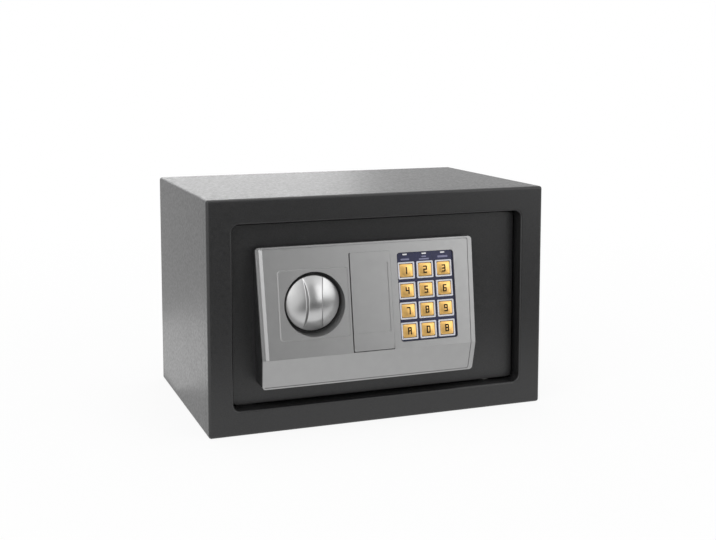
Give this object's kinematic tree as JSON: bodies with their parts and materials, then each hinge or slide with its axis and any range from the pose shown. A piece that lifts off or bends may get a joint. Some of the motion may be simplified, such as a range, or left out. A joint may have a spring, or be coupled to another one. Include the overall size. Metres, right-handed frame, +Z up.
{
  "type": "safe deposit box",
  "caption": "Small steel safe with a recessed hinged door, electronic keypad panel, round grip knob, coupled sliding bolts and a hidden override lock.",
  "frame": {"origin": "centre of the cabinet's bottom face", "axes": "+X to the right seen from the front, +Y into the cabinet, +Z up"},
  "size_m": [0.31, 0.2128, 0.2],
  "materials": {
    "charcoal_coat": "fine textured powder coat",
    "inner_coat": "satin powder coat",
    "carpet": "needle felt",
    "zinc_steel": "zinc plated",
    "bright_bolt": "polished",
    "white_nylon": "matt",
    "black_plastic": "matt moulded",
    "silver_plastic": "satin silver paint",
    "silver_knob": "satin",
    "navy_label": "printed film",
    "pale_plastic": "silvered",
    "gold_key": "gold plated",
    "clear_led": "clear",
    "green_board": "solder resist",
    "chromed_zinc": "polished",
    "copper_coil": "taped winding",
    "cell_wrap": "plain wrap",
    "black_rubber": "matt",
    "red_plastic": "gloss"
  },
  "bodies": {
    "cabinet": {"body_shell": "charcoal_coat", "front_frame": "charcoal_coat", "back_panel": "charcoal_coat", "floor_mat": "carpet", "hinge_brackets": "charcoal_coat", "hinge_pins": "zinc_steel", "door_stops": "charcoal_coat"},
    "door": {"door_plate": "charcoal_coat", "hinge_blocks": "zinc_steel", "hinge_washers": "white_nylon", "inner_cover": "inner_coat", "inner_cover_screws": "zinc_steel", "bolt_guide": "zinc_steel", "carriage_studs": "zinc_steel", "stud_clips": "zinc_steel", "panel_base": "black_plastic", "face_plate": "silver_plastic", "keypad_label": "navy_label", "key_frames": "pale_plastic", "indicator_leds": "clear_led", "keypad_board": "green_board", "key_switches": "black_plastic", "knob_bush": "white_nylon", "lock_body": "chromed_zinc", "lock_nut": "zinc_steel", "solenoid_frame": "zinc_steel", "solenoid_coil": "copper_coil", "plunger_spring": "zinc_steel", "solenoid_screws": "zinc_steel", "battery_tray": "black_plastic", "batteries": "cell_wrap", "battery_contacts": "zinc_steel", "reset_switch": "black_plastic", "cable_grommet": "black_rubber", "wiring_loom": "black_rubber", "panel_screws": "zinc_steel"},
    "knob": {"knob": "silver_knob", "knob_spindle": "zinc_steel", "drive_disc": "zinc_steel"},
    "bolts": {"bolt_carriage": "zinc_steel", "locking_bolts": "bright_bolt"},
    "plunger": {"solenoid_plunger": "zinc_steel"},
    "override_plug": {"lock_plug": "chromed_zinc", "lock_cam": "zinc_steel"},
    "lock_cover": {"lock_cover": "silver_plastic"},
    "battery_lid": {"battery_lid": "black_plastic"},
    "reset_button": {"reset_button": "red_plastic"},
    "key_1": {"key_1": "gold_key"},
    "key_2": {"key_2": "gold_key"},
    "key_3": {"key_3": "gold_key"},
    "key_4": {"key_4": "gold_key"},
    "key_5": {"key_5": "gold_key"},
    "key_6": {"key_6": "gold_key"},
    "key_7": {"key_7": "gold_key"},
    "key_8": {"key_8": "gold_key"},
    "key_9": {"key_9": "gold_key"},
    "key_a": {"key_a": "gold_key"},
    "key_0": {"key_0": "gold_key"},
    "key_b": {"key_b": "gold_key"}
  },
  "joints": [
    {"name": "door_hinge", "type": "hinge", "parent": "cabinet", "child": "door", "pos_m": [0.107, -0.0805, 0.1], "axis": [0, 0, 1], "range_deg": [0, 95]},
    {"name": "knob_turn", "type": "hinge", "parent": "door", "child": "knob", "pos_m": [-0.0643, -0.1, 0.109], "axis": [0, -1, 0], "range_deg": [0, 90]},
    {"name": "bolt_slide", "type": "slide", "parent": "door", "child": "bolts", "axis": [-1, 0, 0], "range_m": [0, 0.01398]},
    {"name": "plunger_lift", "type": "slide", "parent": "door", "child": "plunger", "axis": [0, 0, 1], "range_m": [0, 0.003], "stiffness_N_per_m": 120, "springref_m": -0.004, "deforming": ["plunger_spring"]},
    {"name": "override_turn", "type": "hinge", "parent": "door", "child": "override_plug", "pos_m": [-0.0124, -0.085, 0.118], "axis": [0, -1, 0], "range_deg": [0, 90]},
    {"name": "lock_cover_off", "type": "slide", "parent": "door", "child": "lock_cover", "axis": [0, -0.9867, 0.1626], "range_m": [0, 0.02]},
    {"name": "battery_lid_slide", "type": "slide", "parent": "door", "child": "battery_lid", "axis": [0, 0, 1], "range_m": [0, 0.029]},
    {"name": "reset_press", "type": "slide", "parent": "door", "child": "reset_button", "axis": [0, -1, 0], "range_m": [0, 0.0015], "stiffness_N_per_m": 300},
    {"name": "key_1_press", "type": "slide", "parent": "door", "child": "key_1", "axis": [0, 0.9867, -0.1626], "range_m": [0, 0.0008], "stiffness_N_per_m": 500},
    {"name": "key_2_press", "type": "slide", "parent": "door", "child": "key_2", "axis": [0, 0.9867, -0.1626], "range_m": [0, 0.0008], "stiffness_N_per_m": 500},
    {"name": "key_3_press", "type": "slide", "parent": "door", "child": "key_3", "axis": [0, 0.9867, -0.1626], "range_m": [0, 0.0008], "stiffness_N_per_m": 500},
    {"name": "key_4_press", "type": "slide", "parent": "door", "child": "key_4", "axis": [0, 0.9867, -0.1626], "range_m": [0, 0.0008], "stiffness_N_per_m": 500},
    {"name": "key_5_press", "type": "slide", "parent": "door", "child": "key_5", "axis": [0, 0.9867, -0.1626], "range_m": [0, 0.0008], "stiffness_N_per_m": 500},
    {"name": "key_6_press", "type": "slide", "parent": "door", "child": "key_6", "axis": [0, 0.9867, -0.1626], "range_m": [0, 0.0008], "stiffness_N_per_m": 500},
    {"name": "key_7_press", "type": "slide", "parent": "door", "child": "key_7", "axis": [0, 0.9867, -0.1626], "range_m": [0, 0.0008], "stiffness_N_per_m": 500},
    {"name": "key_8_press", "type": "slide", "parent": "door", "child": "key_8", "axis": [0, 0.9867, -0.1626], "range_m": [0, 0.0008], "stiffness_N_per_m": 500},
    {"name": "key_9_press", "type": "slide", "parent": "door", "child": "key_9", "axis": [0, 0.9867, -0.1626], "range_m": [0, 0.0008], "stiffness_N_per_m": 500},
    {"name": "key_a_press", "type": "slide", "parent": "door", "child": "key_a", "axis": [0, 0.9867, -0.1626], "range_m": [0, 0.0008], "stiffness_N_per_m": 500},
    {"name": "key_0_press", "type": "slide", "parent": "door", "child": "key_0", "axis": [0, 0.9867, -0.1626], "range_m": [0, 0.0008], "stiffness_N_per_m": 500},
    {"name": "key_b_press", "type": "slide", "parent": "door", "child": "key_b", "axis": [0, 0.9867, -0.1626], "range_m": [0, 0.0008], "stiffness_N_per_m": 500}
  ],
  "couplings": [
    {"joint": "knob_turn", "follows": "bolt_slide", "rad_per_m": 112.36}
  ]
}
